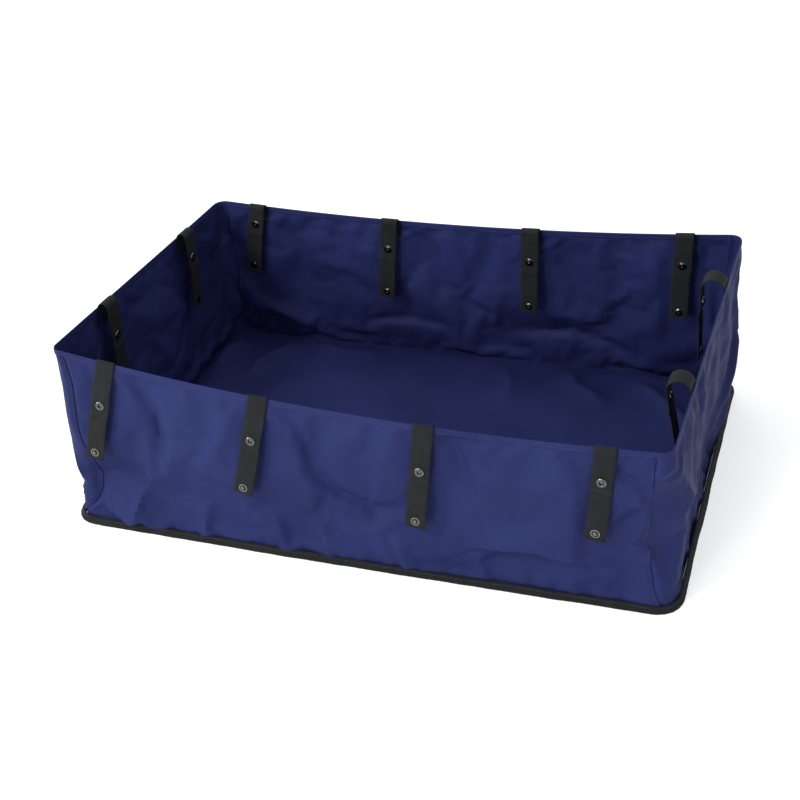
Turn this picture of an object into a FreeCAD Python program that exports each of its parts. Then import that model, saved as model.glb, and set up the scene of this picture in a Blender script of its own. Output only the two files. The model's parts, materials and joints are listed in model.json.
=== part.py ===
"""Open-top picking bag: a soft fabric box with webbing straps that button round a frame's rails.

Millimetres. X runs along the bag's length, -Y is the front, +Z is up. The origin is the middle of the
bag's footprint, on the surface that it stands on. Each strap has a frame of its own: x runs along the
rim, y points from the strap's sewn root to the leg that hangs beside it, and z runs up the strap.
"""
import FreeCAD, Part

import math
import os

import Sketcher
from FreeCAD import Placement, Rotation, Vector

SIZES = {
    # the fabric box
    "rim_length": 780,
    "rim_width": 465,
    "rim_height": 241,  # average height of the four rim corners
    "rim_twist": 11,  # two opposite corners stand this much higher, the other two this much lower
    "rim_corner": 14,
    "rim_sag_front": 18,
    "rim_sag_back": 10,
    "rim_bow_front": 2,  # outward
    "rim_bow_back": 9,  # inward
    "floor_length": 780,
    "floor_width": 489,
    "floor_corner": 25,
    "floor_bow_front": 2,  # outward
    "floor_bow_back": 2,  # outward
    "floor_turn": 2,  # degrees that the soft box is wrung between its floor and its rim
    "fabric": 1.4,  # thickness of a coated panel, with its lining of air and creases
    "end_wrap": 17,  # how far an end panel runs round the corner before its seam
    "binding_width": 8,
    "binding_height": 9,
    "binding_gap": 0.5,
    # the webbing straps
    "webbing_width": 25,
    "webbing": 1.4,
    "root_length": 25,  # the part sewn flat inside the rim
    "strap_reach": 152,  # from the rim, along the webbing, to its cut end
    "crease_reach": 105.5,
    "snap_reach": 36.5,  # each snap's distance from the crease
    "joint_gap": 0.3,
    "sewn_gap": 0.2,
    "fold_offset": 2.5,  # from the webbing's middle to the axis that it folds about
    "front_bend": 2.2,  # middle radius of the webbing's turn at the rim, for each side's straps
    "back_bend": 5,
    "left_bend": 7.5,
    "right_bend": 14,
    # the press studs
    "cap_radius": 6.2,
    "cap_height": 1.9,
    "socket_radius": 5.9,
    "socket_height": 2.4,
    "socket_base": 0.6,
    "bore_radius": 2.3,
    "stud_radius": 5.4,
    "stud_flange": 0.6,
    "stud_height": 2.4,
    "stud_head": 2.1,
    "post_radius": 1.25,
    "post_gap": 0.05,
    "post_cap_height": 1.2,
    "eyelet_radius": 1.8,  # the hole in the webbing
}

# side: which way its straps hang from the rim (degrees about Z), whether the leg hangs outside the
# wall, and for each strap its place along the rim, the lean of its leg along the wall, how far the
# leg swings out from the wall (in, where it is negative), both in degrees from plumb, and how much
# shorter it hangs than strap_reach, for straps that are sewn in deeper
STRAPS = {
    "front": (180, True, [(-309, 15, 0, 0), (-102, 14.4, 0, 0), (107, 7.3, 0, 0), (318, 5.4, 0, 18)]),
    "back": (180, False, [(-320, 11, 0, 28), (-107, 6.5, 0, 12), (103, 2.5, 0, 9), (315, 2.2, 0, 12)]),
    "left": (-90, False, [(-108, 0, -4, 0), (108, 0, -4, 12)]),
    "right": (90, False, [(-108, 0, -10, 12), (108, 0, 0, 0)]),
}
OUTSIDE_STAND_OFF = 2.0  # degrees that an outside leg stands off the sloping wall behind it

X_AXIS = Vector(1, 0, 0)
Y_AXIS = Vector(0, 1, 0)
Z_AXIS = Vector(0, 0, 1)


class Size:
    """A size held twice: as a number, to place geometry, and as the sheet's expression for it."""

    def __init__(self, value, text):
        self.value = value
        self.text = text

    def __add__(self, other):
        other = as_size(other)
        return Size(self.value + other.value, f"({self.text} + {other.text})")

    def __sub__(self, other):
        other = as_size(other)
        return Size(self.value - other.value, f"({self.text} - {other.text})")

    def __mul__(self, other):
        other = as_size(other)
        return Size(self.value * other.value, f"({self.text} * {other.text})")

    def __truediv__(self, other):
        other = as_size(other)
        return Size(self.value / other.value, f"({self.text} / {other.text})")

    def __neg__(self):
        return Size(-self.value, f"(-1 * {self.text})")


def as_size(thing):
    if isinstance(thing, Size):
        return thing
    return Size(float(thing), repr(float(thing)))


def size(alias):
    return Size(float(SIZES[alias]), "Sizes." + alias)


ZERO = as_size(0)
PI = Size(math.pi, "pi")

doc = FreeCAD.newDocument("picking_bag")


def fill_sheet():
    sheet = doc.addObject("Spreadsheet::Sheet", "Sizes")
    for row, (alias, value) in enumerate(SIZES.items(), start=1):
        sheet.set(f"A{row}", alias)
        sheet.set(f"B{row}", str(value))
        sheet.setAlias(f"B{row}", alias)
    doc.recompute()


# ---------------------------------------------------------------- sketches and solids


def new_body(label):
    body = doc.addObject("PartDesign::Body", label)
    body.Label = label
    return body


def new_sketch(body, plane, height=ZERO):
    """A sketch on one of the body's own origin planes, raised by height along the plane's normal."""
    sketch = body.newObject("Sketcher::SketchObject", body.Name + "_sketch")
    origin = [f for f in body.Origin.OriginFeatures if f.Role == plane]
    sketch.AttachmentSupport = [(origin[0], "")]
    sketch.MapMode = "FlatFace"
    sketch.AttachmentOffset = Placement(Vector(0, 0, height.value), Rotation())
    if height is not ZERO:
        sketch.setExpression("AttachmentOffset.Base.z", height.text)
    return sketch


def bind(sketch, kind, where, wanted):
    """A driving dimension of the sketch that follows the sheet. Its sign is kept positive."""
    index = sketch.addConstraint(Sketcher.Constraint(kind, *where, abs(wanted.value)))
    text = wanted.text if wanted.value >= 0 else f"(-1 * {wanted.text})"
    sketch.setExpression(f"Constraints[{index}]", text)


def pin_point(sketch, edge, end, x, y):
    """Holds one end of an edge at (x, y) from the sketch's origin."""
    for kind, wanted in (("DistanceX", x), ("DistanceY", y)):
        if abs(wanted.value) < 1e-9:
            onto = -2 if kind == "DistanceX" else -1
            sketch.addConstraint(Sketcher.Constraint("PointOnObject", edge, end, onto))
        elif wanted.value > 0:
            bind(sketch, kind, (-1, 1, edge, end), wanted)
        else:
            bind(sketch, kind, (edge, end, -1, 1), wanted)


def draw_loop(sketch, corners):
    """A closed outline. Each corner is (x, y, turn): turn is None before a straight edge, or
    (radius, side) before an arc, whose middle lies right of the way on where side is 1, left at -1."""
    first = sketch.GeometryCount
    points = [Vector(x.value, y.value, 0) for x, y, _ in corners]
    for i, (_, _, turn) in enumerate(corners):
        a = points[i]
        b = points[(i + 1) % len(points)]
        if turn is None:
            sketch.addGeometry(Part.LineSegment(a, b), False)
            continue
        radius, side = turn
        half = (b - a).Length / 2
        rise = radius.value - math.sqrt(max(radius.value**2 - half**2, 0))
        along = (b - a).normalize()
        middle = (a + b) / 2 + Vector(along.y, -along.x, 0) * rise * side
        sketch.addGeometry(Part.Arc(a, middle, b), False)
    for i, (x, y, turn) in enumerate(corners):
        edge = first + i
        after = first + (i + 1) % len(corners)
        # Sketcher keeps arcs counter-clockwise, so an arc with its middle on the left runs backwards
        start, end = (1, 2) if turn is None or turn[1] == 1 else (2, 1)
        next_turn = corners[(i + 1) % len(corners)][2]
        next_start = 1 if next_turn is None or next_turn[1] == 1 else 2
        sketch.addConstraint(Sketcher.Constraint("Coincident", edge, end, after, next_start))
        pin_point(sketch, edge, start, x, y)
        if turn is not None:
            bind(sketch, "Radius", (edge,), turn[0])


def bow_radius(chord, bow):
    """The radius of the arc that stands bow proud of its chord."""
    return (chord * chord + bow * bow * 4) / (bow * 8)


def box_outline(sketch, length, width, corner, front_bow, front_side, back_bow, back_side):
    """A rounded rectangle, counter-clockwise, whose long sides are shallow arcs."""
    left, right = -length / 2, length / 2
    front, back = -width / 2, width / 2
    chord = length - corner * 2
    front_turn = (bow_radius(chord, front_bow), front_side)
    back_turn = (bow_radius(chord, back_bow), back_side)
    draw_loop(
        sketch,
        [
            (left + corner, front, front_turn),
            (right - corner, front, (corner, 1)),
            (right, front + corner, None),
            (right, back - corner, (corner, 1)),
            (right - corner, back, back_turn),
            (left + corner, back, (corner, 1)),
            (left, back - corner, None),
            (left, front + corner, (corner, 1)),
        ],
    )


def floor_outline(sketch, grow=ZERO):
    """The floor's edge, or a ring outside it. The floor lies turned a little from the rim."""
    offset = sketch.AttachmentOffset
    sketch.AttachmentOffset = Placement(offset.Base, Rotation(Z_AXIS, SIZES["floor_turn"]))
    sketch.setExpression("AttachmentOffset.Rotation.Angle", "Sizes.floor_turn * 1 deg")
    box_outline(
        sketch,
        size("floor_length") + grow * 2,
        size("floor_width") + grow * 2,
        size("floor_corner") + grow,
        size("floor_bow_front"),
        1,
        size("floor_bow_back"),
        1,
    )


def rim_outline(sketch, grow=ZERO):
    box_outline(
        sketch,
        size("rim_length") + grow * 2,
        size("rim_width") + grow * 2,
        size("rim_corner") + grow,
        size("rim_bow_front"),
        1,
        size("rim_bow_back"),
        -1,
    )


def pad(body, sketch, length, both_ways=False):
    feature = body.newObject("PartDesign::Pad", body.Name + "_pad")
    feature.Profile = sketch
    feature.Length = length.value
    feature.setExpression("Length", length.text)
    feature.Midplane = both_ways
    return feature


def revolved(label, profile):
    """A body turned about its own Z from a closed half outline of (radius, height) points."""
    body = new_body(label)
    sketch = new_sketch(body, "XZ_Plane")
    draw_loop(sketch, [(r, z, None) for r, z in profile])
    turn = body.newObject("PartDesign::Revolution", label + "_turn")
    turn.Profile = sketch
    turn.ReferenceAxis = (sketch, ["V_Axis"])
    turn.Angle = 360
    return body


def group(label, members):
    """Separate solids that share one node."""
    compound = doc.addObject("Part::Compound", label)
    compound.Label = label
    compound.Links = members
    return compound


# ---------------------------------------------------------------- the fabric box


def wall_shell():
    """All four walls in one piece: the space between an outer and an inner loft from floor to rim."""
    body = new_body("wall_shell")
    top = size("rim_height") + size("rim_twist")
    for kind, grow in (("AdditiveLoft", ZERO), ("SubtractiveLoft", -size("fabric"))):
        low = new_sketch(body, "XY_Plane", size("fabric"))
        floor_outline(low, grow)
        high = new_sketch(body, "XY_Plane", top)
        rim_outline(high, grow)
        loft = body.newObject("PartDesign::" + kind, "wall_" + kind)
        loft.Profile = low
        loft.Sections = [high]
        loft.Ruled = True
    return body


def long_keeper(side):
    """What a long wall keeps of the shell: between the two end seams, up to its sagging rim."""
    away = 1 if side == "front" else -1
    body = new_body(side + "_keeper")
    sketch = new_sketch(body, "XZ_Plane")
    half = size("rim_length") / 2 - size("end_wrap")
    sag = size("rim_sag_" + side)
    twist = size("rim_twist") * away
    left_top = size("rim_height") + twist
    right_top = size("rim_height") - twist
    # the rim's chord slopes by the twist, so its length is the hypotenuse
    chord_squared = half * half * 4 + twist * twist * 4
    radius = (chord_squared + sag * sag * 4) / (sag * 8)
    draw_loop(
        sketch,
        [
            (-half, ZERO, None),
            (half, ZERO, None),
            (half, right_top, (radius, -1)),
            (-half, left_top, None),
        ],
    )
    feature = pad(body, sketch, size("floor_width"))
    feature.Reversed = side == "back"
    return body


def end_keeper(side):
    """What an end wall keeps: everything past its two seams, up to a straight, twisted rim."""
    away = 1 if side == "left" else -1
    body = new_body(side + "_keeper")
    start = size("rim_length") / 2 - size("end_wrap")
    sketch = new_sketch(body, "YZ_Plane", start * -away)
    half = size("rim_width") / 2
    twist = size("rim_twist") * away
    reach = half * 1.5
    draw_loop(
        sketch,
        [
            (-reach, ZERO, None),
            (reach, ZERO, None),
            (reach, size("rim_height") - twist, None),
            (half, size("rim_height") - twist, None),
            (-half, size("rim_height") + twist, None),
            (-reach, size("rim_height") + twist, None),
        ],
    )
    feature = pad(body, sketch, size("end_wrap") * 3)
    feature.Reversed = side == "left"
    return body


def wall_panel(shell, side):
    keeper = long_keeper(side) if side in ("front", "back") else end_keeper(side)
    label = side + "_panel"
    panel = doc.addObject("Part::MultiCommon", label)
    panel.Label = label
    panel.Shapes = [shell, keeper]
    return panel


def floor_panel():
    body = new_body("floor_panel")
    sketch = new_sketch(body, "XY_Plane")
    floor_outline(sketch)
    pad(body, sketch, size("fabric"))
    return body


def bottom_binding():
    """The tape round the bottom seam: a flat ring outside the floor and the feet of the walls."""
    body = new_body("bottom_binding")
    sketch = new_sketch(body, "XY_Plane")
    floor_outline(sketch, size("binding_width"))
    floor_outline(sketch, size("binding_gap"))
    pad(body, sketch, size("binding_height"))
    return body


# ---------------------------------------------------------------- where each strap is


def wall_lines(side, along):
    """How far the middle of a wall's fabric is from the bag's centre line, at the floor and at the
    height of the highest rim corner."""
    inset = SIZES["fabric"] / 2
    shift = along * math.tan(math.radians(SIZES["floor_turn"]))
    if side in ("front", "right"):
        shift = -shift
    if side in ("left", "right"):
        return SIZES["floor_length"] / 2 - inset + shift, SIZES["rim_length"] / 2 - inset
    floor_share = along / (SIZES["floor_length"] / 2 - SIZES["floor_corner"])
    rim_share = along / (SIZES["rim_length"] / 2 - SIZES["rim_corner"])
    floor_bow = SIZES["floor_bow_" + side] * (1 - floor_share**2)
    rim_bow = SIZES["rim_bow_" + side] * (1 - rim_share**2) * (1 if side == "front" else -1)
    low = SIZES["floor_width"] / 2 + floor_bow - inset + shift
    return low, SIZES["rim_width"] / 2 + rim_bow - inset


def wall_slope(side, along):
    """How far the wall leans inward on its way up, as a share of its rise."""
    low, high = wall_lines(side, along)
    return (low - high) / (SIZES["rim_height"] + SIZES["rim_twist"] - SIZES["fabric"])


def rim_point(side, along):
    """The middle of the fabric's top edge, at a place along one side of the rim."""
    height = SIZES["rim_height"]
    twist = SIZES["rim_twist"] * (1 if side in ("back", "right") else -1)
    if side in ("front", "back"):
        share = along / (SIZES["rim_length"] / 2 - SIZES["end_wrap"])
        height -= SIZES["rim_sag_" + side] * (1 - share**2)
    else:
        share = along / (SIZES["rim_width"] / 2)
    height += twist * share
    away = wall_lines(side, along)[0] - wall_slope(side, along) * (height - SIZES["fabric"])
    outward = {"front": -Y_AXIS, "back": Y_AXIS, "left": -X_AXIS, "right": X_AXIS}[side]
    run = X_AXIS if side in ("front", "back") else Y_AXIS
    return outward * away + run * along + Z_AXIS * height


def rim_frame(side, along):
    """A frame on the rim: x follows the rim itself, and y points to the side that the leg hangs on."""
    facing = Rotation(Z_AXIS, STRAPS[side][0])
    tangent = rim_point(side, along + 1) - rim_point(side, along - 1)
    across = facing.multVec(X_AXIS)
    if tangent.dot(across) < 0:
        tangent = -tangent
    turned = Rotation(tangent, facing.multVec(Y_AXIS), Vector(), "XYZ")
    return Placement(rim_point(side, along), turned)


def root_distance():
    """From the middle of the wall's fabric to the middle of the webbing sewn on it."""
    return SIZES["fabric"] / 2 + SIZES["webbing"] / 2 + SIZES["sewn_gap"]


def root_frame(side, along):
    """The top middle of the sewn root, lying along the inside of the sloping wall."""
    outside = STRAPS[side][1]
    inward = -1 if outside else 1
    slope = math.degrees(math.atan(wall_slope(side, along)))
    step = Placement(Vector(0, inward * root_distance(), 0), Rotation(X_AXIS, -inward * slope))
    return rim_frame(side, along) * step


def swing_frame(side, along, tilt):
    """The middle of the strap's turn at the rim, about whose x axis the strap swings."""
    outside = STRAPS[side][1]
    # the root lies inside the wall, so an outside leg's frame is a bend radius back over the rim
    to_wall = SIZES[side + "_bend"] + root_distance() * (-1 if outside else 1)
    if outside:
        tilt = tilt + OUTSIDE_STAND_OFF + math.degrees(math.atan(wall_slope(side, along)))
    return rim_frame(side, along) * Placement(Vector(0, to_wall, 0), Rotation(X_AXIS, tilt))


def leg_skew(side, along, lean):
    """The lean of the leg in its own plane, from square to the rim, in degrees."""
    across = rim_frame(side, along).Rotation.multVec(X_AXIS)
    return lean - math.degrees(math.asin(across.z))


def leg_frame(side, along, lean, tilt):
    """The top middle of the hanging leg: z runs up the webbing."""
    skew = leg_skew(side, along, lean)
    step = Placement(Vector(0, SIZES[side + "_bend"], 0), Rotation(Y_AXIS, -skew))
    return swing_frame(side, along, tilt) * step


def functional_side(side):
    """Which way along the strap's y its sockets and studs face: 1 away from the root, -1 towards it."""
    return 1 if STRAPS[side][1] else -1


def drop(side, reach, shorter):
    """How far down the hanging leg a place is, from its reach along the webbing."""
    return reach - PI * size(side + "_bend") - shorter


# ---------------------------------------------------------------- the straps


def webbing_leg(label, frame, top, bottom, eyelet=None, skew=0):
    """A flat length of webbing in the strap's XZ plane, with the hole that its press stud fills.
    Its top edge is cut skew degrees off square, to lie along the rim."""
    body = new_body(label)
    half = size("webbing_width") / 2
    rise = half * math.tan(math.radians(skew))
    sketch = new_sketch(body, "XZ_Plane")
    draw_loop(
        sketch,
        [
            (-half, bottom, None),
            (half, bottom, None),
            (half, top - rise, None),
            (-half, top + rise, None),
        ],
    )
    if eyelet is not None:
        hole = sketch.addGeometry(
            Part.Circle(Vector(0, eyelet.value, 0), Z_AXIS, SIZES["eyelet_radius"]), False
        )
        pin_point(sketch, hole, 3, ZERO, eyelet)
        bind(sketch, "Radius", (hole,), size("eyelet_radius"))
    pad(body, sketch, size("webbing"), both_ways=True)
    body.Placement = frame
    return body


def strap_root(label, side, along):
    top = -size("joint_gap") * 2
    return webbing_leg(label, root_frame(side, along), top, top - size("root_length"))


def strap_bend(label, side, frame):
    """The webbing's half turn over the rim, from the root's plane to the leg's."""
    body = new_body(label)
    radius = size(side + "_bend")
    outer = radius + size("webbing") / 2
    inner = radius - size("webbing") / 2
    sketch = new_sketch(body, "YZ_Plane")
    draw_loop(
        sketch,
        [
            (outer, ZERO, (outer, 1)),
            (ZERO, outer, (outer, 1)),
            (-outer, ZERO, None),
            (-inner, ZERO, (inner, -1)),
            (ZERO, inner, (inner, -1)),
            (inner, ZERO, None),
        ],
    )
    pad(body, sketch, size("webbing_width"), both_ways=True)
    body.Placement = frame
    return body


def snap_frame(leg, side, down):
    """A press stud's frame: z points to the webbing's working face."""
    quarter = Rotation(X_AXIS, -90 * functional_side(side))
    return leg * Placement(Vector(0, 0, -down.value), quarter)


def upper_snap(label, frame):
    """A cap on the plain face, riveted through the webbing to a socket on the working face."""
    face = size("webbing") / 2
    post = size("post_radius")
    cap_r, cap_h = size("cap_radius"), size("cap_height")
    base = face + size("socket_base")
    cap = revolved(
        label + "_cap",
        [
            (ZERO, -face - cap_h),
            (cap_r * 0.6, -face - cap_h * 0.9),
            (cap_r * 0.92, -face - cap_h * 0.5),
            (cap_r, -face),
            (post, -face),
            (post, base),
            (ZERO, base),
        ],
    )
    rim, tall, bore = size("socket_radius"), size("socket_height"), size("bore_radius")
    hole = post + size("post_gap")
    socket = revolved(
        label + "_socket",
        [
            (hole, face),
            (rim, face),
            (rim, face + tall * 0.7),
            (rim * 0.88, face + tall),
            (bore * 1.3, face + tall),
            (bore, face + tall * 0.85),
            (bore, base),
            (hole, base),
        ],
    )
    for body in (cap, socket):
        body.Placement = frame
    return group(label, [cap, socket])


def lower_snap(label, frame):
    """A low cap on the plain face and a stud on the working face, which enters the upper socket."""
    face = size("webbing") / 2
    post = size("post_radius")
    cap_h, flange_r = size("post_cap_height"), size("stud_radius")
    flange, tall, head = size("stud_flange"), size("stud_height"), size("stud_head")
    post_top = face + tall * 0.7
    cap = revolved(
        label + "_cap",
        [
            (ZERO, -face - cap_h),
            (flange_r * 0.7, -face - cap_h * 0.9),
            (flange_r, -face - cap_h * 0.3),
            (flange_r, -face),
            (post, -face),
            (post, post_top),
            (ZERO, post_top),
        ],
    )
    hole = post + size("post_gap")
    stud = revolved(
        label + "_stud",
        [
            (hole, face),
            (flange_r, face),
            (flange_r, face + flange),
            (head * 1.1, face + flange * 1.2),
            (head * 0.88, face + tall * 0.5),
            (head, face + tall * 0.78),
            (head * 0.8, face + tall),
            (ZERO, face + tall),
            (ZERO, post_top + size("post_gap")),
            (hole, post_top + size("post_gap")),
        ],
    )
    for body in (cap, stud):
        body.Placement = frame
    return group(label, [cap, stud])


def strap_places():
    """(name, side, place along the rim, lean, tilt, how much shorter it hangs) of every strap."""
    for side, (_, _, places) in STRAPS.items():
        for number, place in enumerate(places, start=1):
            yield f"{side}_strap_{number}", side, *place


def make_straps():
    """Every strap's two legs and two press studs, then the roots and the turns as two groups."""
    nodes, roots, bends = [], [], []
    gap = size("joint_gap")
    for name, side, along, lean, tilt, shorter in strap_places():
        leg = leg_frame(side, along, lean, tilt)
        crease = drop(side, size("crease_reach"), shorter)
        end = drop(side, size("strap_reach"), shorter)
        high_snap = crease - size("snap_reach")
        low_snap = crease + size("snap_reach")
        above = -crease + gap / 2
        below = -crease - gap / 2
        skew = leg_skew(side, along, lean)
        nodes += [
            webbing_leg(name + "_upper", leg, -gap, above, -high_snap, skew),
            webbing_leg(name + "_lower", leg, below, -end, -low_snap),
            upper_snap(name + "_upper_snap", snap_frame(leg, side, high_snap)),
            lower_snap(name + "_lower_snap", snap_frame(leg, side, low_snap)),
        ]
        roots.append(strap_root(name + "_root", side, along))
        bends.append(strap_bend(name + "_bend", side, swing_frame(side, along, tilt)))
    nodes.append(group("strap_anchors", roots))
    nodes.append(group("strap_bends", bends))
    return nodes


def joint_list():
    """(joint, parent, child, point, axis) of each strap's swing at the rim and fold at its crease.
    A positive turn lifts the leg away from the wall, or folds the lower leg on to the working face."""
    for name, side, along, lean, tilt, shorter in strap_places():
        swing = swing_frame(side, along, tilt)
        leg = leg_frame(side, along, lean, tilt)
        facing = functional_side(side)
        down = drop(side, size("crease_reach"), shorter).value
        crease = leg.multVec(Vector(0, facing * SIZES["fold_offset"], -down))
        swing_axis = swing.Rotation.multVec(X_AXIS)
        fold_axis = leg.Rotation.multVec(X_AXIS) * facing
        yield name + "_swing", "bag", name + "_upper", swing.Base, swing_axis
        yield name + "_fold", name + "_upper", name + "_lower", crease, fold_axis


# ---------------------------------------------------------------- build, check, write


def check(nodes):
    """Stops on any feature that failed and on any node whose shape is missing or broken."""
    for item in doc.Objects:
        if "Invalid" in item.State or "Error" in item.State:
            raise RuntimeError(f"{item.Name} did not compute: {item.State}")
    for node in nodes:
        if node.Shape.isNull() or not node.Shape.isValid() or not node.Shape.Solids:
            raise RuntimeError(f"{node.Label} has no valid solid")


def build():
    fill_sheet()
    shell = wall_shell()
    nodes = [wall_panel(shell, side) for side in ("front", "back", "left", "right")]
    nodes += [floor_panel(), bottom_binding()]
    nodes += make_straps()
    doc.recompute()
    check(nodes)
    return nodes


nodes = build()
os.makedirs("parts", exist_ok=True)
for node in nodes:
    node.Shape.exportStep(f"parts/{node.Label}.step")
    solids = len(node.Shape.Solids)
    print(f"{node.Label}: {solids} solid(s), {node.Shape.Volume / 1000:.2f} cm3")
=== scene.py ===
"""The picking bag as cloth, webbing, thread and press studs, built round its CAD frame.

Metres. X runs along the bag's length, -Y is the front, +Z is up. The four walls are one ring of
cloth, described by columns that run up from the floor to the rim. They are cut into four sheets at
the corner seams.
"""

import json
import math

import bpy
import numpy as np
from mathutils import Matrix, Vector


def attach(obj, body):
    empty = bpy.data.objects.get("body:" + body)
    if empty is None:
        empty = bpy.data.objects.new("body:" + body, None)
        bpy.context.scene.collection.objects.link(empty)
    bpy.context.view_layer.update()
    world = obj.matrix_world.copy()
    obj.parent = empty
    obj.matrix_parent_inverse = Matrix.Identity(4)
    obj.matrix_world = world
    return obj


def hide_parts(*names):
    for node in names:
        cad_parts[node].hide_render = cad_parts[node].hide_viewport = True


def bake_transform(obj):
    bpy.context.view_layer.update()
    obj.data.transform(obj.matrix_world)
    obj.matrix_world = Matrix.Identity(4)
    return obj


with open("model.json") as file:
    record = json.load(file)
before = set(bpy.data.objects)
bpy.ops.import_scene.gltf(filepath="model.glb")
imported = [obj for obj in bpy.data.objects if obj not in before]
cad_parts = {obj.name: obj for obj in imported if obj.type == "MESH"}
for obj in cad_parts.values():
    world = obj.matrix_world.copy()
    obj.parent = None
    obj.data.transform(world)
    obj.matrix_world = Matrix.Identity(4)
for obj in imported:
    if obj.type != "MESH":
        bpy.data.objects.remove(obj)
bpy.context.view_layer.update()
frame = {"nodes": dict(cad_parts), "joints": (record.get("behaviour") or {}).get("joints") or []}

MM = 0.001

# ---------------------------------------------------------------- sizes, the same as the CAD model's

FABRIC = 1.4 * MM  # thickness that the CAD panels give the soft cloth
RIM = {"length": 0.780, "width": 0.465, "corner": 0.014, "front": 0.002, "back": -0.009, "turn": 0}
FOOT = {"length": 0.780, "width": 0.489, "corner": 0.025, "front": 0.002, "back": 0.002, "turn": 2}
RIM_HEIGHT = 0.241
RIM_TWIST = 0.011
RIM_SAG = {"front": 0.018, "back": 0.010}
END_WRAP = 0.017
LOFT_TOP = RIM_HEIGHT + RIM_TWIST
CORNER_PULL = 0.010

WEBBING_WIDTH = 0.025
WEBBING = 1.4 * MM
ROOT_LENGTH = 0.025
STRAP_REACH = 0.152
CREASE_REACH = 0.1055
SNAP_REACH = 0.0365
FOLD_OFFSET = 2.5 * MM
BEND = {"front": 2.2 * MM, "back": 5 * MM, "left": 7.5 * MM, "right": 14 * MM}
OUTSIDE = {"front"}

BINDING_WIDTH = 0.008
BINDING_HEIGHT = 0.009

SIDES = ("front", "right", "back", "left")
OUTWARD = {"front": (0, -1), "right": (1, 0), "back": (0, 1), "left": (-1, 0)}
AXIS = {"front": 0, "right": 1, "back": 0, "left": 1}  # the coordinate that runs along each wall

# ---------------------------------------------------------------- sizes of the cloth's own detail

CLOTH = 0.8 * MM
HEM_DEPTH = 8 * MM
HEM_OUTER = 1.15 * MM
HEM_INNER = 0.85 * MM
HEM_STITCH_DEPTH = 5.5 * MM
STITCH_PITCH = 4 * MM
STITCH_LENGTH = 3 * MM
THREAD_WIDTH = 0.75 * MM
THREAD_HEIGHT = 0.4 * MM
SEAM_WIDTH = 7 * MM
GROOVE_DEPTH = 2.0 * MM
GROOVE_WIDTH = 2.4 * MM

# how the slack cloth of the walls is settled
SETTLE_ROWS = 32
SETTLE_STEP = 8 * MM
SETTLE_FRAMES = 26
SETTLE_GRAVITY = 0.15
SETTLE_LIMIT = 12 * MM
CLOTH_SETTINGS = {
    "quality": 6,
    "mass": 0.05,
    "tension_stiffness": 30.0,
    "compression_stiffness": 30.0,
    "shear_stiffness": 15.0,
    "bending_stiffness": 0.4,
    "air_damping": 2.0,
    "shrink_min": -0.028,
}


def smoothstep(low, high, x):
    t = np.clip((x - low) / (high - low), 0, 1)
    return t * t * (3 - 2 * t)


def ripples(points, size, seed, count=28):
    """Smooth random hills over space, about size across, with a spread of one."""
    rng = np.random.default_rng(seed)
    ways = rng.normal(size=(count, 3))
    ways /= np.linalg.norm(ways, axis=1)[:, None]
    ways *= (math.pi / (size * rng.uniform(0.75, 1.6, count)))[:, None]
    phases = rng.uniform(0, 2 * math.pi, count)
    return np.sin(points @ ways.T + phases).sum(-1) / math.sqrt(count / 2)


def unit(vectors):
    return vectors / np.maximum(np.linalg.norm(vectors, axis=-1, keepdims=True), 1e-12)


def lengths_along(points):
    """How far along a line of points each one is."""
    return np.concatenate([[0], np.cumsum(np.linalg.norm(np.diff(points, axis=0), axis=1))])


# ---------------------------------------------------------------- meshes


def lattice(across, along):
    """The (across, along) pairs of a grid that has a row for each along."""
    return np.stack(np.broadcast_arrays(across[None, :], along[:, None]), -1)


def make_mesh(name, points, faces, uvs=None, sharp=None):
    """A smooth mesh object. uvs gives one (u, v) in metres for each point."""
    mesh = bpy.data.meshes.new(name)
    mesh.from_pydata(np.asarray(points).reshape(-1, 3).tolist(), [], faces)
    mesh.validate()
    if uvs is not None:
        corners = np.zeros(len(mesh.loops), int)
        mesh.loops.foreach_get("vertex_index", corners)
        layer = mesh.uv_layers.new(name="UVMap")
        layer.data.foreach_set("uv", np.asarray(uvs).reshape(-1, 2)[corners].ravel())
    mesh.shade_smooth()
    if sharp is not None:
        mesh.set_sharp_from_angle(angle=math.radians(sharp))
    obj = bpy.data.objects.new(name, mesh)
    bpy.context.scene.collection.objects.link(obj)
    return obj


def quads(rows, columns, first=0, flip=False):
    """Faces of a grid whose points are numbered row by row."""
    faces = []
    for i in range(rows - 1):
        for j in range(columns - 1):
            a = first + i * columns + j
            face = (a, a + 1, a + columns + 1, a + columns)
            faces.append(face[::-1] if flip else face)
    return faces


def thick_sheet(name, middle, normals, thickness, uvs):
    """A closed sheet round a grid of points, with the normals on its outer side."""
    rows, columns = middle.shape[:2]
    outer = middle + normals * thickness / 2
    inner = middle - normals * thickness / 2
    count = rows * columns
    faces = quads(rows, columns) + quads(rows, columns, count, flip=True)
    border = list(range(columns))
    border += [i * columns + columns - 1 for i in range(1, rows)]
    border += [(rows - 1) * columns + j for j in range(columns - 2, -1, -1)]
    border += [i * columns for i in range(rows - 2, 0, -1)]
    for a, b in zip(border, border[1:] + border[:1]):
        faces.append((a, a + count, b + count, b))
    points = np.concatenate([outer.reshape(-1, 3), inner.reshape(-1, 3)])
    flat = uvs.reshape(-1, 2)
    return make_mesh(name, points, faces, np.concatenate([flat, flat]), sharp=50)


def swept(name, rings, uvs, closed_way=False, sharp=40):
    """A tube through rings of points. Each ring is a closed section. Open ends are capped."""
    count, around = rings.shape[:2]
    faces = []
    for i in range(count if closed_way else count - 1):
        after = (i + 1) % count
        for j in range(around):
            k = (j + 1) % around
            faces.append((i * around + j, i * around + k, after * around + k, after * around + j))
    if not closed_way:
        faces.append(tuple(range(around))[::-1])
        faces.append(tuple((count - 1) * around + j for j in range(around)))
    return make_mesh(name, rings, faces, uvs, sharp)


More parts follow.
